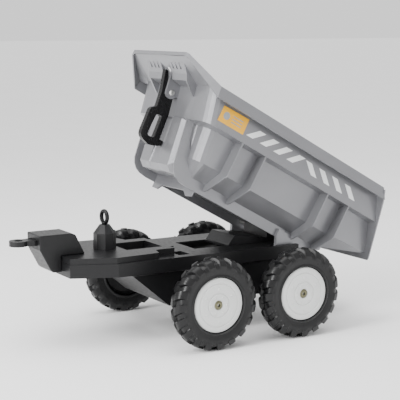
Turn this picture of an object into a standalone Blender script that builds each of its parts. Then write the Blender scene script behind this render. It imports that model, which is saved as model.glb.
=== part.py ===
"""Toy tipping dumper trailer, towed behind a ride-on pedal tractor.

Metres, +Z up.  The drawbar points along -Y, the side with the bed's stickers is +X and the ground is
z = 0.  Everything hangs under one empty midway between the axles.  The bed hangs under a second empty
on its tipping hinge, which holds it at full tip; the latch lever hangs under a third on its bolt.
"""

import math

import bmesh
import bpy
from mathutils import Matrix, Vector

# ---------------------------------------------------------------- driving dimensions

FIT = 0.0003                    # clearance between touching pieces
AXLE_MID_Y = 0.0594             # places the middle of the whole object's box at y = 0

WHEEL_R = 0.100
WHEELBASE = 0.2195
TYRE_IN = 0.1852
TYRE_OUT = 0.2342
BEAD_R = 0.0600
HUB_FACE = 0.2310
AXLE_R = 0.0050
CAP_R = 0.0085

DECK_Z = 0.1870                 # rear deck and side margins
PLATEAU_Z = 0.2000              # raised front deck
BEAM_LOW_Z = 0.1580
BELLY_Z = 0.0800
FRAME_HALF = 0.1150
BELLY_HALF = 0.1050
NOSE_HALF = 0.0750
NOSE_Y = -0.3810
SHOULDER_Y = -0.2870
PLATEAU_END_Y = -0.1190
TAIL_Y = 0.1750
FRAME_WALL = 0.0040

BLOCK_HALF = 0.0345
BLOCK_TOP_Z = 0.2470
BLOCK_FRONT_Y = -0.4310
TONGUE_Z = 0.2300
TONGUE_THICK = 0.0110
EYE_Y = -0.4650
EYE_R = 0.0200
EYE_HOLE_R = 0.0090

POST_Y = -0.2633
POST_R = 0.0250
RING_Z = 0.2700
RING_R = 0.0140
RING_WIRE_R = 0.0035
RING_DEPTH_SCALE = 1.45         # the ring is this much deeper along Y than its wire is thick

PIVOT_Y = 0.1480
PIVOT_Z = 0.2120
TIP_ANGLE = math.radians(29.0)
PIN_R = 0.0050
PIN_HALF = 0.0850
HUMP_HALF = 0.0500

# The bed is drawn level, in its own frame: u runs forward from the hinge, v up from it.
WALL = 0.0034
RIM_V = 0.1940
RIM_DROP = 0.0250
RIM_HALF = 0.1840
HEADER_HALF = 0.1640
HEADER_LOW_V = 0.1170
HOPPER_HALF = 0.1350
HOPPER_LOW_HALF = 0.1290
HOPPER_LOW_V = 0.0430
FLOOR_HALF = 0.0850
FLOOR_V = 0.0020
KNEE_U = 0.3640
CANOPY_TIP = (0.4400, 0.2330)   # u, v of the canopy's front edge
CANOPY_TIP_HALF = 0.1250
TAIL_U = -0.0750                # where the floor starts to rise
TAIL_FLOOR_V = 0.0450
TUNNEL_HALF = 0.0620            # the floor's raised middle, clear of the hump below it
TUNNEL_V = 0.0290
RIM_FLARE = 0.0060              # how far the rim's lower edge stands outside its upper one
TIP_DROP = 0.0085               # depth of the lip along the canopy's front edge
REAR_TOP_U = -0.1465            # rear opening at v = REAR_TOP_V
REAR_TOP_V = 0.1840
REAR_LEAN = 0.500               # u per v along the rear opening
SPINE_HALF = 0.0930
SPINE_FACE_HALF = 0.0650
SPINE_DEPTH = 0.0265
GROOVE_HALF = 0.0200
GROOVE_DEPTH = 0.0090
CHIN = (0.3225, -0.0014)        # u, v where the spine has turned under into the floor
RIB_U = (0.2430, 0.1750, -0.0200, -0.0870)
RIB_THICK = 0.0030
SKIRT_IN = 0.0890
SKIRT_OUT = 0.0922
SKIRT_LOW_V = -0.0165
WEB_U = 0.2620                  # cross web between the keel plates, with a claw at each end
WEB_LOW_V = -0.0193
CLAW_LOW_V = -0.0305
EAR_IN = 0.0912
EAR_OUT = 0.1005

BOLT_U = 0.3760
BOLT_V = 0.1630
LEVER_HALF = 0.0065
TAB_SLOT_HALF = 0.0080          # slot in the canopy that the lever's thumb tab swings through
TAB_SLOT_Y = (-0.4050, -0.3690)
LUG_IN = 0.0080
LUG_OUT = 0.0150
BOLT_R = 0.0040


# ---------------------------------------------------------------- scene and materials

for stale in list(bpy.data.objects):
    bpy.data.objects.remove(stale, do_unlink=True)

PARTS = bpy.data.collections.new("dumper_trailer")
CUTTERS = bpy.data.collections.new("cutters")
for collection in (PARTS, CUTTERS):
    bpy.context.scene.collection.children.link(collection)


def material(name, colour, roughness, metallic=0.0):
    made = bpy.data.materials.new(name)
    made.use_nodes = True
    shader = made.node_tree.nodes["Principled BSDF"]
    shader.inputs["Base Color"].default_value = (*colour, 1.0)
    shader.inputs["Roughness"].default_value = roughness
    shader.inputs["Metallic"].default_value = metallic
    return made


BLACK_PLASTIC = (0.020, 0.020, 0.022)
SILVER_PLASTIC = (0.330, 0.335, 0.350)
WHITE_PLASTIC = (0.800, 0.800, 0.790)
TYRE_PLASTIC = (0.016, 0.016, 0.017)
STEEL = (0.560, 0.560, 0.570)


def empty(name, parent, location, rotation=(0.0, 0.0, 0.0)):
    made = bpy.data.objects.new(name, None)
    PARTS.objects.link(made)
    made.parent = parent
    made.location = location
    made.rotation_euler = rotation
    return made


def part(name, mesh, parent, colour, roughness, metallic=0.0):
    """A sub-part with a material of its own, shaded smooth up to sharp edges."""
    made = bpy.data.objects.new(name, mesh)
    PARTS.objects.link(made)
    made.parent = parent
    mesh.materials.clear()
    mesh.materials.append(material(name, colour, roughness, metallic))
    mesh.shade_smooth()
    mesh.set_sharp_from_angle(angle=math.radians(35))
    return made


def tool(name, mesh, parent):
    """A body that only cuts or joins."""
    made = bpy.data.objects.new(name, mesh)
    CUTTERS.objects.link(made)
    made.parent = parent
    made.hide_render = True
    made.display_type = "WIRE"
    return made


def boolean(target, operation, mesh, label):
    step = target.modifiers.new(label, "BOOLEAN")
    step.operation = operation
    step.solver = "EXACT"
    step.object = tool(f"{target.name}_{label}", mesh, target.parent)
    step.object.location = target.location


# ---------------------------------------------------------------- shape helpers

# Columns that carry a flat outline's axes a, b and its thickness axis into the model.
PLANES = {
    "XY": Matrix(((1, 0, 0), (0, 1, 0), (0, 0, 1))),
    "YZ": Matrix(((0, 0, 1), (1, 0, 0), (0, 1, 0))),
    "XZ": Matrix(((1, 0, 0), (0, 0, -1), (0, 1, 0))),
}
THICKNESS_AXIS = {"XY": 2, "YZ": 0, "XZ": 1}


def flat(outlines, thickness):
    """The mesh of a filled flat outline, with any holes, centred on its own plane."""
    curve = bpy.data.curves.new("outline", "CURVE")
    curve.dimensions = "2D"
    curve.fill_mode = "BOTH"
    curve.extrude = thickness / 2
    for outline in outlines:
        spline = curve.splines.new("POLY")
        spline.points.add(len(outline) - 1)
        for point, (a, b) in zip(spline.points, outline):
            point.co = (a, b, 0.0, 1.0)
        spline.use_cyclic_u = True
    holder = bpy.data.objects.new("outline", curve)
    bpy.context.scene.collection.objects.link(holder)
    evaluated = holder.evaluated_get(bpy.context.evaluated_depsgraph_get())
    mesh = bpy.data.meshes.new_from_object(evaluated)
    bpy.data.objects.remove(holder)
    bpy.data.curves.remove(curve)
    work = bmesh.new()
    work.from_mesh(mesh)
    bmesh.ops.remove_doubles(work, verts=work.verts, dist=1e-6)
    bmesh.ops.recalc_face_normals(work, faces=work.faces)
    bmesh.ops.dissolve_limit(work, angle_limit=math.radians(1), verts=work.verts, edges=work.edges)
    bmesh.ops.triangulate(work, faces=[f for f in work.faces if len(f.verts) > 4])
    work.to_mesh(mesh)
    work.free()
    return mesh


def plate(outlines, plane, low, high):
    """A flat plate: outlines in the plane, from low to high across it."""
    mesh = flat(outlines, high - low)
    place = PLANES[plane].to_4x4()
    place.translation[THICKNESS_AXIS[plane]] = (low + high) / 2
    mesh.transform(place)
    return mesh


def bed_plate(outlines, low, high):
    """A plate across the bed's width, its outlines given in u and v."""
    return plate([[(-u, v) for u, v in outline] for outline in outlines], "YZ", low, high)


def pair(mesh):
    """A mesh and its mirror image across the middle plane, as two bodies in one mesh."""
    work = bmesh.new()
    work.from_mesh(mesh)
    twin = bmesh.ops.duplicate(work, geom=work.verts[:] + work.edges[:] + work.faces[:])["geom"]
    bmesh.ops.scale(work, vec=(-1, 1, 1), verts=[g for g in twin if isinstance(g, bmesh.types.BMVert)])
    bmesh.ops.reverse_faces(work, faces=[g for g in twin if isinstance(g, bmesh.types.BMFace)])
    work.to_mesh(mesh)
    work.free()
    return mesh


def joined(meshes):
    """Several bodies as one mesh."""
    mesh = bpy.data.meshes.new("joined")
    work = bmesh.new()
    for body in meshes:
        work.from_mesh(body)
    work.to_mesh(mesh)
    work.free()
    return mesh


def box(x, y, z):
    """A box between two places on each axis."""
    mesh = bpy.data.meshes.new("box")
    work = bmesh.new()
    size = Vector((x[1] - x[0], y[1] - y[0], z[1] - z[0]))
    middle = Vector((sum(x), sum(y), sum(z))) / 2
    bmesh.ops.create_cube(work, size=1.0, matrix=Matrix.LocRotScale(middle, None, size))
    work.to_mesh(mesh)
    work.free()
    return mesh


def rod(radius, length, centre, axis="X", segments=24, end_radius=None):
    """A round bar, or a cone when the far end's radius differs."""
    turn = {"X": Matrix.Rotation(math.pi / 2, 4, "Y"), "Y": Matrix.Rotation(math.pi / 2, 4, "X"),
            "Z": Matrix.Identity(4)}[axis]
    mesh = bpy.data.meshes.new("rod")
    work = bmesh.new()
    bmesh.ops.create_cone(work, cap_ends=True, segments=segments, radius1=radius,
                          radius2=radius if end_radius is None else end_radius, depth=length,
                          matrix=Matrix.Translation(centre) @ turn)
    work.to_mesh(mesh)
    work.free()
    return mesh


def turned(name, profile, segments, closed, parent, location, colours):
    """A piece turned about the X axis from (radius, x) points running down its outer side."""
    mesh = bpy.data.meshes.new(name)
    work = bmesh.new()
    points = [work.verts.new((radius, 0.0, along)) for radius, along in profile]
    for first, second in zip(points, points[1:]):
        work.edges.new((first, second))
    if closed:
        work.edges.new((points[-1], points[0]))
    work.to_mesh(mesh)
    work.free()
    made = part(name, mesh, parent, *colours)
    made.location = location
    made.rotation_euler = (0.0, math.pi / 2, 0.0)
    spin = made.modifiers.new("turn", "SCREW")
    spin.axis = "Z"
    spin.steps = segments
    spin.render_steps = segments
    spin.use_merge_vertices = True
    spin.merge_threshold = 0.00005
    spin.use_smooth_shade = True
    return made


def rounded(corners, steps=3):
    """An outline whose corners, given as (a, b, radius), are turned into arcs."""
    outline = []
    count = len(corners)
    for index, (a, b, radius) in enumerate(corners):
        here = Vector((a, b))
        if radius == 0.0:
            outline.append((a, b))
            continue
        back = (Vector(corners[index - 1][:2]) - here).normalized()
        ahead = (Vector(corners[(index + 1) % count][:2]) - here).normalized()
        half = math.acos(max(-1.0, min(1.0, back.dot(ahead)))) / 2
        reach = radius / math.tan(half)
        middle = here + (back + ahead).normalized() * (radius / math.sin(half))
        start = here + back * reach - middle
        sweep = start.angle_signed(here + ahead * reach - middle)
        for step in range(steps + 1):
            turn = Matrix.Rotation(-sweep * step / steps, 2)
            outline.append(tuple(middle + turn @ start))
    return outline


def arc(centre, radius, start, end, steps):
    """Points on a circle between two angles in degrees."""
    angles = [math.radians(start + (end - start) * step / steps) for step in range(steps + 1)]
    return [(centre[0] + radius * math.cos(a), centre[1] + radius * math.sin(a)) for a in angles]


TRAILER = empty("trailer_origin", None, (0.0, AXLE_MID_Y, 0.0))
BED = empty("bed_hinge", TRAILER, (0.0, PIVOT_Y, PIVOT_Z), (-TIP_ANGLE, 0.0, 0.0))
LEVER = empty("lever_hinge", BED, (0.0, -BOLT_U, BOLT_V))


# ---------------------------------------------------------------- chassis

def mirrored(half):
    """A closed plan outline from its +X side, front to rear."""
    return half + [(-x, y) for x, y in reversed(half)]


def chassis_frame():
    """Deck, side margins and belly of one moulding, hollow and open underneath."""
    slab = [(NOSE_HALF, NOSE_Y), (FRAME_HALF, SHOULDER_Y), (FRAME_HALF, TAIL_Y)]
    frame = part("chassis_frame", plate([mirrored(slab)], "XY", BEAM_LOW_Z, DECK_Z), TRAILER,
                 BLACK_PLASTIC, 0.45)
    wide_end = -0.185
    plateau = [(NOSE_HALF - 0.001, NOSE_Y + 0.001), (FRAME_HALF - 0.003, SHOULDER_Y - 0.002),
               (FRAME_HALF - 0.010, wide_end), (0.072, wide_end + 0.010), (0.072, PLATEAU_END_Y)]
    boolean(frame, "UNION", plate([mirrored(plateau)], "XY", DECK_Z - 0.010, PLATEAU_Z), "plateau")
    belly = [(-0.2550, 0.1700), (-0.2550, BEAM_LOW_Z + 0.002), (-0.1600, BELLY_Z), (0.1600, BELLY_Z),
             (TAIL_Y - 0.001, 0.1000), (TAIL_Y - 0.001, 0.1700)]
    boolean(frame, "UNION", plate([belly], "YZ", -BELLY_HALF, BELLY_HALF), "belly")

    inset = FRAME_WALL
    hollow = [(NOSE_HALF - inset, NOSE_Y + inset), (FRAME_HALF - inset, SHOULDER_Y + inset / 2),
              (FRAME_HALF - inset, TAIL_Y - inset)]
    boolean(frame, "DIFFERENCE", plate([mirrored(hollow)], "XY", BEAM_LOW_Z - 0.004, DECK_Z - inset),
            "hollow")
    inside = [(-0.2500, DECK_Z - inset - 0.001), (-0.2500, BEAM_LOW_Z + 0.003),
              (-0.1575, BELLY_Z + inset), (-0.1560, BELLY_Z - 0.010), (0.1580, BELLY_Z - 0.010),
              (TAIL_Y - inset, 0.1000), (TAIL_Y - inset, DECK_Z - inset - 0.001)]
    boolean(frame, "DIFFERENCE", plate([inside], "YZ", inset - BELLY_HALF, BELLY_HALF - inset), "inside")
    boolean(frame, "DIFFERENCE", box((-0.042, 0.042), (-0.230, -0.142), (0.170, 0.210)), "front_well")
    boolean(frame, "DIFFERENCE", box((-0.045, 0.045), (-0.060, 0.020), (0.170, 0.210)), "rear_well")
    slots = pair(box((EAR_IN - 0.0050, EAR_OUT + 0.0030), (0.1060, TAIL_Y + 0.0050), (0.1500, 0.2100)))
    boolean(frame, "DIFFERENCE", slots, "ear_slots")
    slots = pair(box((0.0520, SKIRT_OUT + 0.0010), (-0.1280, -0.1010), (0.1700, 0.2100)))
    boolean(frame, "DIFFERENCE", slots, "claw_slots")
    for label, y in (("front_bore", -WHEELBASE / 2), ("rear_bore", WHEELBASE / 2)):
        boolean(frame, "DIFFERENCE", rod(AXLE_R + FIT, 0.30, (0, y, WHEEL_R)), label)
    return frame


def drawbar_block():
    """The raised block over the nose that carries the tow tongue."""
    side = [(BLOCK_FRONT_Y, BLOCK_TOP_Z), (-0.3570, BLOCK_TOP_Z), (-0.3480, 0.2430),
            (-0.3270, PLATEAU_Z + FIT), (NOSE_Y - FIT, PLATEAU_Z + FIT), (NOSE_Y - FIT, 0.1660),
            (-0.4010, 0.1660), (-0.4070, 0.1715), (BLOCK_FRONT_Y + 0.0005, 0.2160)]
    block = part("drawbar_block", plate([side], "YZ", -BLOCK_HALF, BLOCK_HALF), TRAILER,
                 BLACK_PLASTIC, 0.45)
    soften = block.modifiers.new("soften", "BEVEL")
    soften.width = 0.0020
    soften.segments = 2
    soften.limit_method = "ANGLE"
    slot = box((-0.022, 0.022), (-0.450, -0.400),
               (TONGUE_Z - TONGUE_THICK / 2 - FIT, TONGUE_Z + TONGUE_THICK / 2 + FIT))
    boolean(block, "DIFFERENCE", slot, "tongue_slot")
    return block


def tow_tongue():
    """Flat drawbar tongue with its round tow eye."""
    neck_half = 0.0140
    outline = arc((0.0, EYE_Y), EYE_R, -225.0, 45.0, 18)
    outline += [(neck_half + 0.004, -0.4360), (neck_half + 0.004, -0.4005),
                (-neck_half - 0.004, -0.4005), (-neck_half - 0.004, -0.4360)]
    hole = arc((0.0, EYE_Y), EYE_HOLE_R, 0.0, 345.0, 23)
    low = TONGUE_Z - TONGUE_THICK / 2
    return part("tow_tongue", plate([outline, hole], "XY", low, low + TONGUE_THICK), TRAILER,
                BLACK_PLASTIC, 0.50)


def latch_post():
    """Eight-sided post with a coned head and the ring that the latch hook enters."""
    flat_turn = Matrix.Translation((0, POST_Y, 0)) @ Matrix.Rotation(math.pi / 8, 4, "Z")
    shoulder = 0.2355
    foot = PLATEAU_Z + FIT
    mesh = rod(POST_R, shoulder - foot, (0, 0, (shoulder + foot) / 2), "Z", 8)
    mesh.transform(flat_turn)
    post = part("latch_post", mesh, TRAILER, BLACK_PLASTIC, 0.40)
    cone_top = 0.2540
    cone = rod(POST_R, cone_top - shoulder + 0.0005, (0, 0, (cone_top + shoulder - 0.0005) / 2), "Z", 8,
               0.0110)
    cone.transform(flat_turn)
    boolean(post, "UNION", cone, "head")
    bpy.ops.mesh.primitive_torus_add(major_radius=RING_R, minor_radius=RING_WIRE_R,
                                     major_segments=24, minor_segments=8)
    torus = bpy.context.active_object
    ring = torus.data.copy()
    bpy.data.objects.remove(torus)
    deepen = Matrix.Scale(RING_DEPTH_SCALE, 4, (0, 1, 0))
    upright = Matrix.Rotation(math.pi / 2, 4, "X")
    ring.transform(Matrix.Translation((0, POST_Y, RING_Z)) @ deepen @ upright)
    boolean(post, "UNION", ring, "ring")
    return post


def hinge_hump():
    """The wedge behind the rear well that stands inside the bed's hollow keel and holds its pin."""
    base = DECK_Z + FIT
    side = [(0.0250, base), (0.0420, 0.2090), (0.1300, 0.1965), (0.1330, 0.2200), (0.1630, 0.2200),
            (0.1690, 0.1900), (0.1690, base)]
    hump = part("hinge_hump", plate([side], "YZ", -HUMP_HALF, HUMP_HALF), TRAILER, BLACK_PLASTIC, 0.45)
    boolean(hump, "DIFFERENCE", rod(PIN_R + FIT, 0.20, (0, PIVOT_Y, PIVOT_Z)), "pin_bore")
    return hump


def axle_set(label, y):
    """A steel axle and the plastic sleeves that stand out of the belly to the wheels."""
    axle = part(f"{label}_axle", rod(AXLE_R, 2 * (HUB_FACE - 0.0048), (0, y, WHEEL_R)), TRAILER,
                STEEL, 0.35, 1.0)
    sleeves = []
    for side, x in (("left", 1.0), ("right", -1.0)):
        start = BELLY_HALF + FIT
        end = TYRE_IN - 0.004
        sleeve = turned(f"{label}_{side}_axle_sleeve",
                        [(AXLE_R + FIT, end - start), (0.0130, end - start), (0.0160, 0.0),
                         (AXLE_R + FIT, 0.0)],
                        24, True, TRAILER, (x * start, y, WHEEL_R), (BLACK_PLASTIC, 0.5))
        sleeve.rotation_euler = (0.0, x * math.pi / 2, 0.0)
        sleeves.append(sleeve)
    return axle, sleeves


# ---------------------------------------------------------------- wheels

def wheel(label, x, y):
    """Tyre with its dished wheel body, hub disc and axle cap; x is +1 on the left side, -1 on the right."""
    middle = (TYRE_IN + TYRE_OUT) / 2
    half = (TYRE_OUT - TYRE_IN) / 2
    place = (x * middle, y, WHEEL_R)
    crown = 0.9 * half
    face = HUB_FACE - middle
    seat = face - 0.012
    bore = AXLE_R + FIT
    tyre = turned(f"{label}_tyre",
                  [(BEAD_R, half - 0.003), (0.066, half), (0.086, half), (0.096, crown),
                   (WHEEL_R, 0.45 * half), (WHEEL_R, -0.45 * half), (0.096, -crown), (0.086, -half),
                   (0.066, -half), (BEAD_R, 0.003 - half), (0.0545, 0.003 - half), (0.052, -0.0085),
                   (0.020, -0.0080), (0.016, 0.003 - half), (bore, 0.003 - half), (bore, seat),
                   (BEAD_R, seat)],
                  40, True, TRAILER, place, (TYRE_PLASTIC, 0.6))
    hub = turned(f"{label}_hub",
                 [(bore, face - 0.005), (0.011, face - 0.005), (0.0125, face - 0.001), (0.027, face - 0.001),
                  (0.0285, face), (0.0430, face), (0.0445, face - 0.001), (0.0570, face - 0.001),
                  (BEAD_R - FIT, face - 0.005), (BEAD_R - FIT, seat + FIT), (bore, seat + FIT)],
                 32, True, TRAILER, place, (WHITE_PLASTIC, 0.35))
    cap = turned(f"{label}_axle_cap",
                 [(0.0, face - 0.0005), (0.0050, face - 0.0008), (CAP_R, face - 0.0030),
                  (CAP_R, face - 0.0046), (bore, face - 0.0046), (bore, face - 0.0046 + 0.0005),
                  (0.0, face - 0.0046 + 0.0012)],
                 20, False, TRAILER, place, (STEEL, 0.35, 1.0))
    for piece in (tyre, hub, cap):
        piece.rotation_euler = (0.0, x * math.pi / 2, 0.0)
    return tyre, hub, cap


# ---------------------------------------------------------------- bed

def rear_u(v):
    """u of the leaning rear opening at a height."""
    return REAR_TOP_U - REAR_LEAN * (REAR_TOP_V - v)


def corner_arc(half, front, radius, steps=5):
    """Plan points round a front corner, from the side to the front."""
    points = []
    for step in range(steps + 1):
        turn = math.radians(90.0 * step / steps)
        points.append((half - radius * (1 - math.cos(turn)), front - radius * (1 - math.sin(turn))))
    return points


def tub_level(half, v, front, radius, spine=0.0, groove=0.0, tail_half=None, tail_v=None, spine_v=None):
    """One level of the tub's inner surface: half a plan outline from the rear opening to the middle."""
    end_half = half if tail_half is None else tail_half
    end_v = v if tail_v is None else tail_v
    end_u = rear_u(end_v)
    level = [(end_half, end_u, end_v), (end_half, end_u + 0.004, end_v), (half, TAIL_U, v)]
    level += [(x, u, v) for x, u in corner_arc(half, front, radius)]
    face = front + spine
    face_v = v if spine_v is None else spine_v
    root = min(SPINE_HALF - WALL, half - radius - 0.001)
    edge = min(SPINE_FACE_HALF - WALL, root - 0.006)
    level += [(root, front, v), (edge, face, face_v), (GROOVE_HALF + WALL, face, face_v),
              (GROOVE_HALF, face - groove, face_v), (0.0, face - groove, face_v)]
    return level


def rim_level(lowered):
    """The rim's outer edge, upper or lower, which climbs past the knee to the canopy's front edge."""
    tip_u, tip_v = CANOPY_TIP
    lead = Vector((CANOPY_TIP_HALF - RIM_HALF, tip_u - KNEE_U, tip_v - RIM_V))
    knee = Vector((RIM_HALF, KNEE_U, RIM_V))
    rear = rear_u(RIM_V)
    level = [(RIM_HALF, rear, RIM_V), (RIM_HALF, rear + 0.008, RIM_V), (RIM_HALF, TAIL_U, RIM_V), tuple(knee)]
    shares = [0.0] * len(level) + [0.25, 0.5, 0.75, 0.95]
    level += [tuple(knee + lead * share) for share in (0.25, 0.5, 0.75, 0.95)]
    level.append((CANOPY_TIP_HALF - 0.006, tip_u, tip_v))
    level += [(x, tip_u, tip_v) for x in (SPINE_HALF, SPINE_FACE_HALF, GROOVE_HALF + WALL, GROOVE_HALF, 0.0)]
    shares += [1.0] * (len(level) - len(shares))
    if not lowered:
        return level
    lower = []
    for (x, u, v), share in zip(level, shares):
        drop = RIM_DROP + (TIP_DROP - RIM_DROP) * share
        lower.append((x + RIM_FLARE * (1.0 - share), u, v - drop))
    for index, lead_in in enumerate((0.0, 0.008)):
        x, _, v = lower[index]
        lower[index] = (x, rear_u(v) + lead_in, v)
    return lower


def tub_surface():
    """Half of the tub's inner surface, from the rim's lower edge over the top and down to the floor."""
    header_in = HEADER_HALF - WALL
    hopper_in = HOPPER_HALF - WALL
    chin_u, chin_v = CHIN
    levels = [
        rim_level(True),
        rim_level(False),
        tub_level(header_in - 0.002, RIM_V - 0.001, 0.365 - WALL, 0.030),
        tub_level(header_in, HEADER_LOW_V + WALL, 0.348 - WALL, 0.030),
        tub_level(hopper_in, HEADER_LOW_V, 0.324 - WALL, 0.028, SPINE_DEPTH, GROOVE_DEPTH),
        tub_level(HOPPER_LOW_HALF - WALL, HOPPER_LOW_V, 0.312 - WALL, 0.028, SPINE_DEPTH - 0.0025, 0.0020,
                  tail_half=HOPPER_LOW_HALF - WALL, tail_v=TAIL_FLOOR_V + 0.006, spine_v=0.0120),
        tub_level(FLOOR_HALF, FLOOR_V + WALL, 0.2850, 0.008, chin_u - WALL / 2 - 0.2850,
                  tail_half=HOPPER_LOW_HALF - 0.012, tail_v=TAIL_FLOOR_V + WALL, spine_v=chin_v + WALL),
        tub_level(TUNNEL_HALF, FLOOR_V + WALL, 0.2600, 0.008, tail_v=TAIL_FLOOR_V + WALL),
        tub_level(TUNNEL_HALF - 0.006, TUNNEL_V + WALL, 0.2540, 0.008, tail_v=TAIL_FLOOR_V + WALL),
    ]
    front_v = 0.1935                                # the canopy meets the header's front a little lower
    levels[2] = [(x, u, front_v if index > 6 else v) for index, (x, u, v) in enumerate(levels[2])]
    mesh = bpy.data.meshes.new("bed_tub")
    work = bmesh.new()
    rows = [[work.verts.new((x, -u, v)) for x, u, v in level] for level in levels]
    for upper, lower in zip(rows, rows[1:]):
        for index in range(len(upper) - 1):
            work.faces.new((upper[index], upper[index + 1], lower[index + 1], lower[index]))
    floor = rows[-1]
    middle_rear = work.verts.new((0.0, floor[0].co.y, floor[0].co.z))
    middle_lip = work.verts.new((0.0, floor[1].co.y, floor[1].co.z))
    middle_tail = work.verts.new((0.0, floor[2].co.y, floor[2].co.z))
    work.faces.new((floor[0], floor[1], middle_lip, middle_rear))
    work.faces.new((floor[1], floor[2], middle_tail, middle_lip))
    work.faces.new(floor[2:] + [middle_tail])
    work.to_mesh(mesh)
    work.free()
    return mesh


def rear_flange():
    """The outward lip round the rear opening, in the opening's own leaning plane."""
    lean = math.hypot(1.0, REAR_LEAN)
    mid = WALL / 2
    half = [(0.1895, 0.1890), (0.1860, 0.1640), (0.1420, 0.0380), (0.1380, 0.0340)]
    inner = [(HOPPER_LOW_HALF - 0.012, TAIL_FLOOR_V + mid), (HOPPER_LOW_HALF - mid, TAIL_FLOOR_V + 0.006),
             (HOPPER_HALF - mid, HEADER_LOW_V + mid), (HEADER_HALF - mid, HEADER_LOW_V + mid),
             (HEADER_HALF - mid - 0.002, 0.1890)]
    outline = [(-x, v) for x, v in half] + [(x, v) for x, v in reversed(half)]
    outline += [(x, v) for x, v in reversed(inner)] + [(-x, v) for x, v in inner]
    mesh = flat([[(x, v * lean) for x, v in outline]], 0.0030)
    up = Vector((0.0, -REAR_LEAN, 1.0)).normalized()
    across = Vector((1.0, 0.0, 0.0))
    place = Matrix((across, up, across.cross(up))).transposed().to_4x4()
    place.translation = (0.0, -rear_u(0.0) - 0.0010, 0.0)
    mesh.transform(place)
    return mesh


def rib_outline():
    """One side's rib in x and v: flush with the header above, running in under the chine below."""
    return [(HOPPER_HALF - 0.002, HEADER_LOW_V + 0.001), (HEADER_HALF - 0.001, HEADER_LOW_V + 0.001),
            (0.1600, 0.0400), (0.1560, 0.0330), (0.1080, -0.0040), (0.0980, -0.0070), (0.0906, -0.0060),
            (0.0906, 0.0070), (0.0980, 0.0160), (HOPPER_LOW_HALF - 0.002, HOPPER_LOW_V + 0.0010)]


def skirt_outline():
    """The keel's side plate in u and v, which turns up along the spine at the front."""
    front = [(0.3550, 0.1165), (0.3515, 0.0970), (0.3443, 0.0527), (0.3400, 0.0300), (0.3370, 0.0130),
             (0.3310, 0.0010), (0.3215, -0.0085), (0.3090, -0.0140), (0.2900, SKIRT_LOW_V)]
    rear = [(-0.0700, SKIRT_LOW_V), (-0.1150, 0.0060), (-0.1150, 0.0165), (-0.0760, 0.0088)]
    inner = [(0.2830, 0.0088), (0.3080, 0.0420), (0.3125, 0.0560), (0.3290, 0.0800), (0.3353, 0.1040),
             (0.3385, 0.1165)]
    return front + rear + inner


def cross_web():
    """The web across the keel in x and v, whose claws drop into slots in the lowered deck."""
    half = [(SKIRT_IN + 0.0010, FLOOR_V + 0.0010), (SKIRT_IN + 0.0010, CLAW_LOW_V + 0.0020),
            (0.0650, CLAW_LOW_V), (0.0480, WEB_LOW_V)]
    outline = half + [(-x, v) for x, v in reversed(half)]
    return plate([outline], "XZ", -WEB_U - RIB_THICK / 2, RIB_THICK / 2 - WEB_U)


def canopy_boss():
    """One of the two pads under the canopy, either side of the lever."""
    side = [(0.4200, 0.2210), (0.4070, 0.2085), (0.3990, 0.2005), (0.3925, 0.1880), (0.3632, 0.1862),
            (0.3640, 0.1925)]
    return bed_plate([side], 0.0200, 0.0860)


def boss_grooves():
    """The upright grooves in one pad's front."""
    side = [(0.4165, 0.2180), (0.4055, 0.2100), (0.4070, 0.2060), (0.4230, 0.2060), (0.4230, 0.2180)]
    return [bed_plate([side], low, low + 0.0075) for low in (0.0290, 0.0455, 0.0620)]


def gusset():
    """Web between a pad and the header's front."""
    side = [(0.3950, 0.2085), (0.3925, 0.1880), (0.3615, 0.1660), (0.3575, 0.1660), (0.3630, 0.1900)]
    return bed_plate([side], 0.0800, 0.0855)


def lever_lug():
    """A cheek beside the lever, hanging from the canopy and rounded about the bolt."""
    side = [(0.3980, 0.2100), (0.3640, 0.1925), (0.3565, 0.1600)]
    side += arc((BOLT_U, BOLT_V), 0.0140, 200.0, 350.0, 6)
    return bed_plate([side], LUG_IN, LUG_OUT)


def pivot_ear():
    """Hinge ear outside the skirt, reaching down beside the chassis."""
    side = [(0.0200, -0.0130), (0.0120, -0.0300), (0.0060, -0.0500), (-0.0020, -0.0560),
            (-0.0090, -0.0530), (-0.0190, -0.0350), (-0.0270, -0.0130), (-0.0270, 0.0020),
            (0.0200, 0.0020)]
    return bed_plate([side], EAR_IN, EAR_OUT)


def bed_tub():
    tub = part("bed_tub", tub_surface(), BED, SILVER_PLASTIC, 0.35)
    mirror = tub.modifiers.new("other_half", "MIRROR")
    mirror.merge_threshold = 0.00005
    shell = tub.modifiers.new("wall", "SOLIDIFY")
    shell.thickness = WALL
    shell.offset = 1.0
    shell.use_even_offset = True
    shell.use_quality_normals = True
    tub.modifiers.new("planar_faces", "TRIANGULATE")
    boolean(tub, "UNION", rear_flange(), "rear_flange")
    boolean(tub, "UNION", pair(bed_plate([skirt_outline()], SKIRT_IN, SKIRT_OUT)), "skirts")
    boolean(tub, "UNION", cross_web(), "cross_web")
    for number, u in enumerate(RIB_U):
        ribs = pair(plate([rib_outline()], "XZ", -u - RIB_THICK / 2, -u + RIB_THICK / 2))
        boolean(tub, "UNION", ribs, f"ribs_{number}")
    boolean(tub, "UNION", pair(pivot_ear()), "ears")
    boolean(tub, "UNION", pair(canopy_boss()), "bosses")
    boolean(tub, "DIFFERENCE", pair(joined(boss_grooves())), "boss_grooves")
    boolean(tub, "UNION", pair(gusset()), "gussets")
    boolean(tub, "UNION", pair(lever_lug()), "lugs")
    boolean(tub, "DIFFERENCE", box((-TAB_SLOT_HALF, TAB_SLOT_HALF), TAB_SLOT_Y, (0.1800, 0.2400)), "tab_slot")
    boolean(tub, "DIFFERENCE", rod(BOLT_R + FIT, 0.20, (0, -BOLT_U, BOLT_V)), "bolt_bore")
    boolean(tub, "DIFFERENCE", rod(PIN_R + FIT, 2 * EAR_IN + 0.004, (0, 0, 0)), "pin_bore")
    return tub


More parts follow.
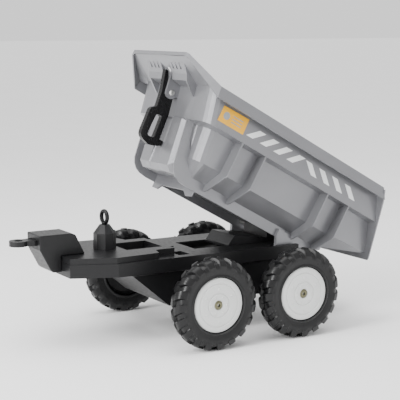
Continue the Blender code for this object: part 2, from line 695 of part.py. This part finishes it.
# ---------------------------------------------------------------- latch lever

def latch_lever():
    """Pull lever with a thumb tab above its bolt, a loop handle below and a hook foot at the back."""
    corners = [(0.4100, 0.2040, 0.002), (0.4020, 0.2040, 0.002), (0.3880, 0.1760, 0.004),
               (0.3640, 0.1600, 0.006), (0.3550, 0.1200, 0.004), (0.3500, 0.0600, 0.0),
               (0.3395, 0.0600, 0.0), (0.3395, 0.0490, 0.0), (0.3540, 0.0420, 0.004),
               (0.3700, 0.0380, 0.010), (0.3990, 0.0460, 0.018), (0.4030, 0.1130, 0.010),
               (0.3900, 0.1220, 0.004), (0.3960, 0.1600, 0.006)]
    outline = rounded([(u - BOLT_U, v - BOLT_V, r) for u, v, r in corners])
    slot = rounded([(0.3830 - BOLT_U, 0.1080 - BOLT_V, 0.005), (0.3680 - BOLT_U, 0.1080 - BOLT_V, 0.005),
                    (0.3640 - BOLT_U, 0.0560 - BOLT_V, 0.005), (0.3840 - BOLT_U, 0.0560 - BOLT_V, 0.005)])
    bore = arc((0.0, 0.0), BOLT_R + FIT, 0.0, 330.0, 11)
    mesh = bed_plate([outline, slot, bore], -LEVER_HALF, LEVER_HALF)
    return part("latch_lever", mesh, LEVER, BLACK_PLASTIC, 0.40)


def lever_bolt():
    """Bolt with a domed head on the left cheek and a nut on the right one."""
    head = LUG_OUT + FIT
    profile = [(0.0, head + 0.0045), (0.0040, head + 0.0040), (0.0065, head + 0.0018), (0.0070, head),
               (BOLT_R, head), (BOLT_R, -head), (0.0070, -head), (0.0070, -head - 0.0050),
               (0.0, -head - 0.0050)]
    return turned("lever_bolt", profile, 20, False, BED, (0.0, -BOLT_U, BOLT_V), (STEEL, 0.3, 1.0))


# ---------------------------------------------------------------- assembly

chassis_frame()
drawbar_block()
tow_tongue()
latch_post()
hinge_hump()
for axle_label, axle_y in (("front", -WHEELBASE / 2), ("rear", WHEELBASE / 2)):
    axle_set(axle_label, axle_y)
    for side_label, side in (("left", 1.0), ("right", -1.0)):
        wheel(f"{axle_label}_{side_label}", side, axle_y)
bed_tub()
part("hinge_pin", rod(PIN_R, 2 * EAR_IN, (0, 0, 0)), BED, STEEL, 0.35, 1.0)
latch_lever()
lever_bolt()
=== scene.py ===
"""Looks for the toy tipping dumper trailer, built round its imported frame.

Metres, +Z up.  The tow eye points along -Y and the decals are on the +X side.  The bed's own pieces are
drawn level in its frame, u forward from the hinge and v up, and then tipped with it.
"""

import math

import bmesh
import bpy
from mathutils import Matrix, Vector


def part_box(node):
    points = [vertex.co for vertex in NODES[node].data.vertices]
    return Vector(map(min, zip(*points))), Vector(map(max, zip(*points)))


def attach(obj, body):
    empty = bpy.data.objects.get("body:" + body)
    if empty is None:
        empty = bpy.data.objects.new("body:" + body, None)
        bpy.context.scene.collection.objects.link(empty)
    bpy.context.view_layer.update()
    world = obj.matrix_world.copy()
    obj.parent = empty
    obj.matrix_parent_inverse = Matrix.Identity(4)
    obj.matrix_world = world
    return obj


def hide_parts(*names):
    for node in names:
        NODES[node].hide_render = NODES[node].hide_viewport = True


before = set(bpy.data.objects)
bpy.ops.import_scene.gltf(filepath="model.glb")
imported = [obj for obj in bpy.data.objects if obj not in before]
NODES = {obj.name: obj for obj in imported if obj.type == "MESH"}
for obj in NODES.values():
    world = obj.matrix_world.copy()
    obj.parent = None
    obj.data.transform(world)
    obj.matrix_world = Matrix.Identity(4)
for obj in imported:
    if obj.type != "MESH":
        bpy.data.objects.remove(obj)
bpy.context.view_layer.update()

# ---------------------------------------------------------------- driving dimensions

TIP_ANGLE = math.radians(29.0)
HINGE = Vector((0.0, 0.2074, 0.2120))
HEADER_TOP_V = 0.193
HEADER_LOW_V = 0.117
HEADER_TOP_X = 0.162
HEADER_LOW_X = 0.164

WHEEL_R = 0.100
TYRE_HALF = 0.0245
CARCASS_R = 0.0945
BEAD_R = 0.060
LUGS = 19
LUG_SHARE = 0.64    # share of a lug pitch that a lug takes up
LUG_FLANK = 0.06    # share of a lug pitch over which it rises
LUG_SLANT = 0.42

HUB_FACE = 0.0213
CAP_BASE = 0.0175
PIPS = 6
PIP_SIDES = 10

LENS_MM = 109.2
CAMERA_PLACE = (2.3634, -1.3569, 0.6916)
CAMERA_AZIMUTH = math.radians(59.43)
CAMERA_ELEVATION = math.radians(8.34)
FLOOR_REACH = 40.0

BED_PLACE = Matrix.Translation(HINGE) @ Matrix.Rotation(-TIP_ANGLE, 4, "X")


# ---------------------------------------------------------------- materials

class Shader:
    """A Principled material and short ways to wire nodes into it."""

    def __init__(self, name):
        self.material = bpy.data.materials.new(name)
        self.material.use_nodes = True
        self.tree = self.material.node_tree
        self.bsdf = self.tree.nodes["Principled BSDF"]
        self.place = self.tree.nodes.new("ShaderNodeTexCoord")

    def set(self, **values):
        for label, value in values.items():
            self.bsdf.inputs[label.replace("_", " ").title().replace("Ior", "IOR")].default_value = value

    def node(self, kind, **inputs):
        made = self.tree.nodes.new(kind)
        for label, value in inputs.items():
            made.inputs[label.replace("_", " ").title()].default_value = value
        return made

    def link(self, start, end):
        self.tree.links.new(start, end)

    def noise(self, scale, detail=3.0, roughness=0.55, stretch=(1.0, 1.0, 1.0)):
        """Noise in the piece's own coordinates, from 0 to 1."""
        mapping = self.tree.nodes.new("ShaderNodeMapping")
        mapping.inputs["Scale"].default_value = stretch
        self.link(self.place.outputs["Object"], mapping.inputs["Vector"])
        made = self.node("ShaderNodeTexNoise", scale=scale, detail=detail, roughness=roughness)
        self.link(mapping.outputs["Vector"], made.inputs["Vector"])
        return made.outputs["Fac"]

    def spread(self, value, low, high, start=0.3, end=0.7):
        """Maps a value from start..end to low..high."""
        made = self.tree.nodes.new("ShaderNodeMapRange")
        made.inputs["From Min"].default_value = start
        made.inputs["From Max"].default_value = end
        made.inputs["To Min"].default_value = low
        made.inputs["To Max"].default_value = high
        self.link(value, made.inputs["Value"])
        return made.outputs["Result"]

    def tones(self, value, *stops):
        """A colour ramp from (position, colour) stops."""
        made = self.tree.nodes.new("ShaderNodeValToRGB")
        ramp = made.color_ramp
        ramp.elements[0].position, ramp.elements[0].color = stops[0][0], (*stops[0][1], 1.0)
        ramp.elements[1].position, ramp.elements[1].color = stops[-1][0], (*stops[-1][1], 1.0)
        for position, colour in stops[1:-1]:
            ramp.elements.new(position).color = (*colour, 1.0)
        self.link(value, made.inputs["Fac"])
        return made.outputs["Color"]

    def colour(self, value):
        self.link(value, self.bsdf.inputs["Base Color"])

    def rough(self, value):
        self.link(value, self.bsdf.inputs["Roughness"])

    def bumps(self, *layers):
        """Stacks bump layers given as (height, distance in metres, strength)."""
        below = None
        for height, distance, strength in layers:
            made = self.tree.nodes.new("ShaderNodeBump")
            made.inputs["Distance"].default_value = distance
            made.inputs["Strength"].default_value = strength
            self.link(height, made.inputs["Height"])
            if below is not None:
                self.link(below, made.inputs["Normal"])
            below = made.outputs["Normal"]
        self.link(below, self.bsdf.inputs["Normal"])


def shade(colour, factor):
    return tuple(min(1.0, c * factor) for c in colour)


def plastic(name, colour, roughness, grain=900.0, grain_depth=0.00004, swing=0.08, metallic=0.0,
            coat=0.0, specular=0.5):
    """Moulded plastic: fine grain, slow flow marks and a slightly uneven gloss."""
    made = Shader(name)
    made.set(metallic=metallic, specular_ior_level=specular, coat_weight=coat, coat_roughness=0.18)
    flow = made.noise(9.0, 4.0, 0.6, (1.0, 0.45, 1.0))
    fine = made.noise(grain, 2.0, 0.5)
    scuffs = made.noise(60.0, 5.0, 0.7, (1.0, 5.0, 1.0))
    made.colour(made.tones(flow, (0.25, shade(colour, 0.92)), (0.55, colour), (0.8, shade(colour, 1.07))))
    made.rough(made.spread(scuffs, roughness - swing, roughness + swing))
    made.bumps((flow, 0.0006, 0.25), (fine, grain_depth, 0.5))
    return made.material


def metal(name, colour, roughness):
    """Plated steel with turning marks and a few darker spots."""
    made = Shader(name)
    made.set(metallic=1.0, specular_ior_level=0.5)
    spots = made.noise(420.0, 5.0, 0.65)
    marks = made.noise(1600.0, 2.0, 0.5, (0.05, 1.0, 1.0))
    made.colour(made.tones(spots, (0.30, shade(colour, 0.45)), (0.45, colour), (0.75, shade(colour, 1.15))))
    made.rough(made.spread(marks, roughness - 0.1, roughness + 0.12))
    made.bumps((marks, 0.00003, 0.6), (spots, 0.00008, 0.4))
    return made.material


def printed(name, colour, roughness=0.35):
    """Printed film: even ink with a faint orange peel from the plastic below."""
    made = Shader(name)
    made.set(specular_ior_level=0.5, coat_weight=0.3, coat_roughness=0.15)
    peel = made.noise(300.0, 2.0, 0.5)
    patch = made.noise(25.0, 4.0, 0.6)
    made.colour(made.tones(patch, (0.3, shade(colour, 0.95)), (0.7, colour)))
    made.rough(made.spread(peel, roughness - 0.05, roughness + 0.06))
    made.bumps((peel, 0.00003, 0.4))
    return made.material


SILVER = plastic("silver_plastic", (0.225, 0.226, 0.238), 0.33, 1400.0, 0.00003, 0.05, 0.55, 0.25)
BLACK = plastic("black_plastic", (0.0060, 0.0060, 0.0066), 0.38, 1100.0, 0.00005, specular=0.30)
LEVER_BLACK = plastic("lever_plastic", (0.0030, 0.0030, 0.0034), 0.28, 1100.0, 0.00003, 0.05, specular=0.30)
TYRE = plastic("tyre_plastic", (0.0050, 0.0050, 0.0054), 0.34, 1300.0, 0.00006, 0.09, specular=0.32)
WHITE = plastic("hub_plastic", (0.62, 0.63, 0.62), 0.32, 1000.0, 0.00003, 0.05)
STEEL = metal("plated_steel", (0.52, 0.52, 0.50), 0.34)
NUT = metal("dull_yellow_plating", (0.20, 0.19, 0.12), 0.38)
WHITE_INK = printed("white_print", (0.80, 0.81, 0.81))
YELLOW_INK = printed("yellow_label", (0.80, 0.40, 0.004))
GREY_INK = printed("grey_print", (0.28, 0.30, 0.30))


def dress(node, material):
    """Gives a carried-over node its finished material."""
    mesh = NODES[node].data
    mesh.materials.clear()
    mesh.materials.append(material)


def soften(node, width, segments=2, angle=30.0):
    """Rounds a carried-over node's moulded edges."""
    step = NODES[node].modifiers.new("soft_edges", "BEVEL")
    step.width = width
    step.segments = segments
    step.limit_method = "ANGLE"
    step.angle_limit = math.radians(angle)
    step.harden_normals = True
    step.use_clamp_overlap = True


# ---------------------------------------------------------------- mesh helpers

def piece(name, mesh, body, material, place=None, smooth_angle=35.0):
    """An object that rides on a body."""
    made = bpy.data.objects.new(name, mesh)
    bpy.context.scene.collection.objects.link(made)
    if place is not None:
        made.matrix_world = place
    mesh.materials.clear()
    mesh.materials.append(material)
    mesh.shade_smooth()
    mesh.set_sharp_from_angle(angle=math.radians(smooth_angle))
    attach(made, body)
    return made


def mesh_from(work, name):
    bmesh.ops.recalc_face_normals(work, faces=work.faces)
    mesh = bpy.data.meshes.new(name)
    work.to_mesh(mesh)
    work.free()
    return mesh


def spun(profile, segments):
    """A bmesh turned about X from (radius, x) points, given round a closed section."""
    work = bmesh.new()
    rings = []
    for radius, along in profile:
        ring = []
        for step in range(segments):
            angle = 2 * math.pi * step / segments
            ring.append(work.verts.new((along, radius * math.cos(angle), radius * math.sin(angle))))
        rings.append(ring)
    for first, second in zip(rings, rings[1:] + rings[:1]):
        for step in range(segments):
            ahead = (step + 1) % segments
            work.faces.new((first[step], first[ahead], second[ahead], second[step]))
    return work


def ease(value, start, end):
    """0 before start, 1 after end, smooth between."""
    share = max(0.0, min(1.0, (value - start) / (end - start)))
    return share * share * (3 - 2 * share)


# ---------------------------------------------------------------- tyres

def tyre_section():
    """(radius, x, lug weight, side) round the tyre's section, from the outer bead over the tread."""
    half = TYRE_HALF
    outer = [(BEAD_R + 0.0002, half - 0.0095, 0.0), (BEAD_R + 0.0006, half - 0.0030, 0.0),
             (0.0620, half - 0.0016, 0.0), (0.0642, half - 0.0022, 0.0), (0.0662, half - 0.0040, 0.0),
             (0.0700, half - 0.0036, 0.0), (0.0740, half - 0.0026, 0.0), (0.0775, half - 0.0022, 0.0),
             (0.0800, half - 0.0024, 0.15), (0.0825, half - 0.0030, 1.0), (0.0855, half - 0.0042, 1.0),
             (0.0885, half - 0.0062, 1.0), (0.0910, half - 0.0092, 1.0), (0.0928, half - 0.0130, 1.0),
             (0.0938, half - 0.0170, 1.0), (CARCASS_R - 0.0002, half - 0.0205, 1.0),
             (CARCASS_R, half - 0.0228, 1.0), (CARCASS_R, half - 0.0235, 0.55)]
    inner = [(radius, -along, weight) for radius, along, weight in reversed(outer)]
    return [(r, a, w, 1) for r, a, w in outer] + [(r, a, w, -1) for r, a, w in inner]


def lug_steps():
    """Shares of one lug pitch at which the tread is cut, close together at the outer row's flanks."""
    return [0.0, LUG_FLANK, 0.2, LUG_SHARE / 2, LUG_SHARE - 0.2, LUG_SHARE - LUG_FLANK, LUG_SHARE,
            (1.0 + LUG_SHARE) / 2]


def tyre(label, x):
    """A tyre and its dished wheel body, with two rows of slanted blocks offset by half a pitch."""
    section = tyre_section()
    steps = lug_steps()
    work = bmesh.new()
    rings = []
    for radius, along, weight, side in section:
        ring = []
        slant = LUG_SLANT * (1.0 - abs(along) / TYRE_HALF)
        for lug in range(LUGS):
            for share in steps:
                phase = share if side > 0 else (share + 0.5) % 1.0
                fall = ease(phase, LUG_SHARE - LUG_FLANK, LUG_SHARE)
                raised = ease(phase, 0.0, LUG_FLANK) * (1.0 - fall)
                height = (WHEEL_R - CARCASS_R) * weight * raised
                turn = 2 * math.pi * (lug + share + slant) / LUGS
                push = height * (0.55 if radius < 0.0885 else 1.0)
                lean = ease(radius, 0.0800, 0.0925)
                out_r = min(WHEEL_R, radius + push * lean + 0.0008 * raised * weight)
                out_x = along + side * push * (1.0 - lean) * 0.55
                ring.append(work.verts.new((x * out_x, out_r * math.cos(turn), out_r * math.sin(turn))))
        rings.append(ring)
    around = LUGS * len(steps)
    dish = [(0.0560, -0.0205), (0.0545, -0.0150), (0.0520, -0.0085), (0.0300, -0.0070), (0.0200, -0.0080),
            (0.0180, -0.0150), (0.0160, -0.0205), (0.0060, -0.0205), (0.0058, 0.0100), (0.0590, 0.0100)]
    for radius, along in dish:
        ring = []
        for step in range(around):
            turn = 2 * math.pi * step / around
            ring.append(work.verts.new((x * along, radius * math.cos(turn), radius * math.sin(turn))))
        rings.append(ring)
    for first, second in zip(rings, rings[1:] + rings[:1]):
        for step in range(around):
            ahead = (step + 1) % around
            work.faces.new((first[step], first[ahead], second[ahead], second[step]))
    mesh = mesh_from(work, f"{label}_tread")
    low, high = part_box(f"{label}_tyre")
    middle = (low + high) / 2
    made = piece(f"{label}_tread", mesh, f"{label}_wheel", TYRE, Matrix.Translation(middle), 28.0)
    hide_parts(f"{label}_tyre")
    return made


# ---------------------------------------------------------------- hubs

def dots(work, x, face, ring_radius, size, height, first_angle):
    """A ring of small raised pips on the hub's face."""
    for number in range(PIPS):
        angle = first_angle + 2 * math.pi * number / PIPS
        centre = Vector((0.0, ring_radius * math.cos(angle), ring_radius * math.sin(angle)))
        rings = []
        for radius, rise in ((size, -0.0004), (size * 0.9, height * 0.6), (size * 0.55, height)):
            ring = []
            for step in range(PIP_SIDES):
                turn = 2 * math.pi * step / PIP_SIDES
                offset = Vector((x * (face + rise), radius * math.cos(turn), radius * math.sin(turn)))
                ring.append(work.verts.new(centre + offset))
            rings.append(ring)
        for lower, upper in zip(rings, rings[1:]):
            for step in range(PIP_SIDES):
                ahead = (step + 1) % PIP_SIDES
                work.faces.new((lower[step], lower[ahead], upper[ahead], upper[step]))
        work.faces.new(rings[-1])
        work.faces.new(list(reversed(rings[0])))


def hub(label, x):
    """White wheel disc: a flat face with two shallow grooves, six outer and six inner pips."""
    face = HUB_FACE
    profile = [(0.0100, 0.0120), (0.0100, face - 0.0030), (0.0112, face - 0.0006), (0.0125, face - 0.0002),
               (0.0238, face), (0.0250, face - 0.0014), (0.0262, face - 0.0014), (0.0274, face),
               (0.0300, face + 0.0002), (0.0443, face), (0.0455, face - 0.0014), (0.0468, face - 0.0014),
               (0.0480, face - 0.0001), (0.0560, face - 0.0004), (0.0582, face - 0.0014),
               (0.0592, face - 0.0032), (0.0594, 0.0120)]
    work = spun([(radius, x * along) for radius, along in profile], 96)
    dots(work, x, face - 0.0001, 0.0360, 0.0026, 0.0016, math.radians(90))
    dots(work, x, face - 0.0001, 0.0188, 0.0021, 0.0016, math.radians(60))
    mesh = mesh_from(work, f"{label}_disc")
    low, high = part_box(f"{label}_tyre")
    made = piece(f"{label}_disc", mesh, f"{label}_wheel", WHITE,
                 Matrix.Translation((low + high) / 2), 25.0)
    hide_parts(f"{label}_hub")


def axle_end(label, x):
    """Push-on lock cap: a domed cup with a round recess at its centre and a turned-out rim."""
    base = CAP_BASE
    profile = [(0.0030, base + 0.0012), (0.0034, base + 0.0030), (0.0052, base + 0.0036),
               (0.0066, base + 0.0030), (0.0074, base + 0.0014), (0.0096, base + 0.0008),
               (0.0098, base + 0.0002), (0.0098, base - 0.0040), (0.0052, base - 0.0040),
               (0.0052, base + 0.0006)]
    work = spun([(radius, x * along) for radius, along in profile], 36)
    mesh = mesh_from(work, f"{label}_lock_cap")
    low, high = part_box(f"{label}_tyre")
    made = piece(f"{label}_lock_cap", mesh, f"{label}_wheel", NUT,
                 Matrix.Translation((low + high) / 2), 30.0)
    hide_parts(f"{label}_axle_cap")


# ---------------------------------------------------------------- decals

def header_x(v):
    share = (HEADER_TOP_V - v) / (HEADER_TOP_V - HEADER_LOW_V)
    return HEADER_TOP_X + share * (HEADER_LOW_X - HEADER_TOP_X)


def film(name, outlines, material, lift=0.0002, thick=0.00025):
    """Thin printed shapes lying on the header's left side, outlines in u and v."""
    work = bmesh.new()
    for outline in outlines:
        faces = []
        for extra in (0.0, thick):
            faces.append([work.verts.new((header_x(v) + lift + extra, -u, v)) for u, v in outline])
        low, high = faces
        work.faces.new(high)
        work.faces.new(list(reversed(low)))
        for index in range(len(outline)):
            ahead = (index + 1) % len(outline)
            work.faces.new((low[index], low[ahead], high[ahead], high[index]))
    return piece(name, mesh_from(work, name), "bed", material, BED_PLACE)


def leaning(first_u, pitch, count, width, low_v, high_v, lean):
    """Parallelograms in a row: lean is how far back the top edge sits from the bottom edge."""
    shapes = []
    for number in range(count):
        front = first_u - number * pitch
        shapes.append([(front, low_v), (front - width, low_v), (front - width - lean, high_v),
                       (front - lean, high_v)])
    return shapes


def decals():
    film("front_stripes", leaning(0.2463, 0.0403, 4, 0.0190, 0.1365, 0.1600, 0.0285), WHITE_INK)
    film("rear_stripes", leaning(0.0473, 0.0414, 4, 0.0180, 0.1340, 0.1580, -0.0275), WHITE_INK)
    film("label", [[(0.3270, 0.1320), (0.2540, 0.1325), (0.2545, 0.1690), (0.3255, 0.1670)]], YELLOW_INK)
    disc = []
    for step in range(24):
        turn = 2 * math.pi * step / 24
        disc.append((0.3100 + 0.0085 * math.cos(turn), 0.1500 + 0.0085 * math.sin(turn)))
    lines = []
    for number in range(3):
        v = 0.1420 + number * 0.0070
        lines.append([(0.2940, v), (0.2660, v), (0.2660, v + 0.0022), (0.2940, v + 0.0022)])
    film("label_marks", [disc] + lines, GREY_INK, 0.0005, 0.0001)


# ---------------------------------------------------------------- assembly

dress("bed_tub", SILVER)
soften("bed_tub", 0.0012, 2, 28.0)
for name in ("chassis_frame", "drawbar_block", "hinge_hump", "tow_tongue", "latch_post"):
    dress(name, BLACK)
soften("chassis_frame", 0.0016, 2)
soften("drawbar_block", 0.0012, 2)
soften("hinge_hump", 0.0020, 2)
soften("tow_tongue", 0.0015, 3)
soften("latch_post", 0.0008, 2)
dress("latch_lever", LEVER_BLACK)
soften("latch_lever", 0.0014, 3)
for name in ("lever_bolt", "hinge_pin", "front_axle", "rear_axle"):
    dress(name, STEEL)

for end in ("front", "rear"):
    for side_name, side_x in (("left", 1.0), ("right", -1.0)):
        wheel_label = f"{end}_{side_name}"
        dress(f"{wheel_label}_axle_sleeve", BLACK)
        tyre(wheel_label, side_x)
        hub(wheel_label, side_x)
        axle_end(wheel_label, side_x)
decals()


# ---------------------------------------------------------------- floor, light, camera

def stage_floor():
    """Plain pale floor that runs far past the view."""
    work = bmesh.new()
    signs = ((-1, -1), (1, -1), (1, 1), (-1, 1))
    work.faces.new([work.verts.new((x * FLOOR_REACH, y * FLOOR_REACH, 0.0)) for x, y in signs])
    floor = bpy.data.objects.new("floor", mesh_from(work, "floor"))
    bpy.context.scene.collection.objects.link(floor)
    pale = Shader("pale_floor")
    pale.set(roughness=0.9, specular_ior_level=0.1)
    pale.colour(pale.tones(pale.noise(3.0), (0.3, (0.93, 0.93, 0.93)), (0.7, (0.95, 0.95, 0.95))))
    floor.data.materials.append(pale.material)


def area_light(name, place, target, size, power):
    lamp = bpy.data.lights.new(name, "AREA")
    lamp.shape = "RECTANGLE"
    lamp.size, lamp.size_y = size
    lamp.energy = power
    holder = bpy.data.objects.new(name, lamp)
    bpy.context.scene.collection.objects.link(holder)
    holder.location = place
    holder.rotation_euler = (Vector(target) - Vector(place)).to_track_quat("-Z", "Y").to_euler()


def sun_light(direction, strength):
    """A very wide sun, which lights the whole floor evenly."""
    lamp = bpy.data.lights.new("broad_sun", "SUN")
    lamp.energy = strength
    lamp.angle = math.radians(70.0)
    holder = bpy.data.objects.new("broad_sun", lamp)
    bpy.context.scene.collection.objects.link(holder)
    holder.rotation_euler = Vector(direction).to_track_quat("-Z", "Y").to_euler()


def world_light(strength):
    world = bpy.data.worlds.new("studio")
    bpy.context.scene.world = world
    world.use_nodes = True
    back = world.node_tree.nodes["Background"]
    back.inputs["Color"].default_value = (1.0, 1.0, 1.0, 1.0)
    back.inputs["Strength"].default_value = strength


def camera():
    lens = bpy.data.cameras.new("camera")
    lens.sensor_width = 36.0
    lens.lens = LENS_MM
    lens.clip_end = 200.0
    holder = bpy.data.objects.new("camera", lens)
    bpy.context.scene.collection.objects.link(holder)
    holder.location = CAMERA_PLACE
    level = math.cos(CAMERA_ELEVATION)
    look = Vector((-math.sin(CAMERA_AZIMUTH) * level, math.cos(CAMERA_AZIMUTH) * level,
                   -math.sin(CAMERA_ELEVATION)))
    holder.rotation_euler = look.to_track_quat("-Z", "Y").to_euler()
    bpy.context.scene.camera = holder


stage_floor()
world_light(1.15)
sun_light((-0.25, 0.45, -1.0), 0.9)
area_light("key", (0.75, -2.7, 1.5), (0.0, -0.1, 0.35), (1.0, 2.2), 130.0)
area_light("top", (0.2, 0.2, 3.0), (0.0, 0.0, 0.2), (2.5, 2.5), 55.0)
camera()
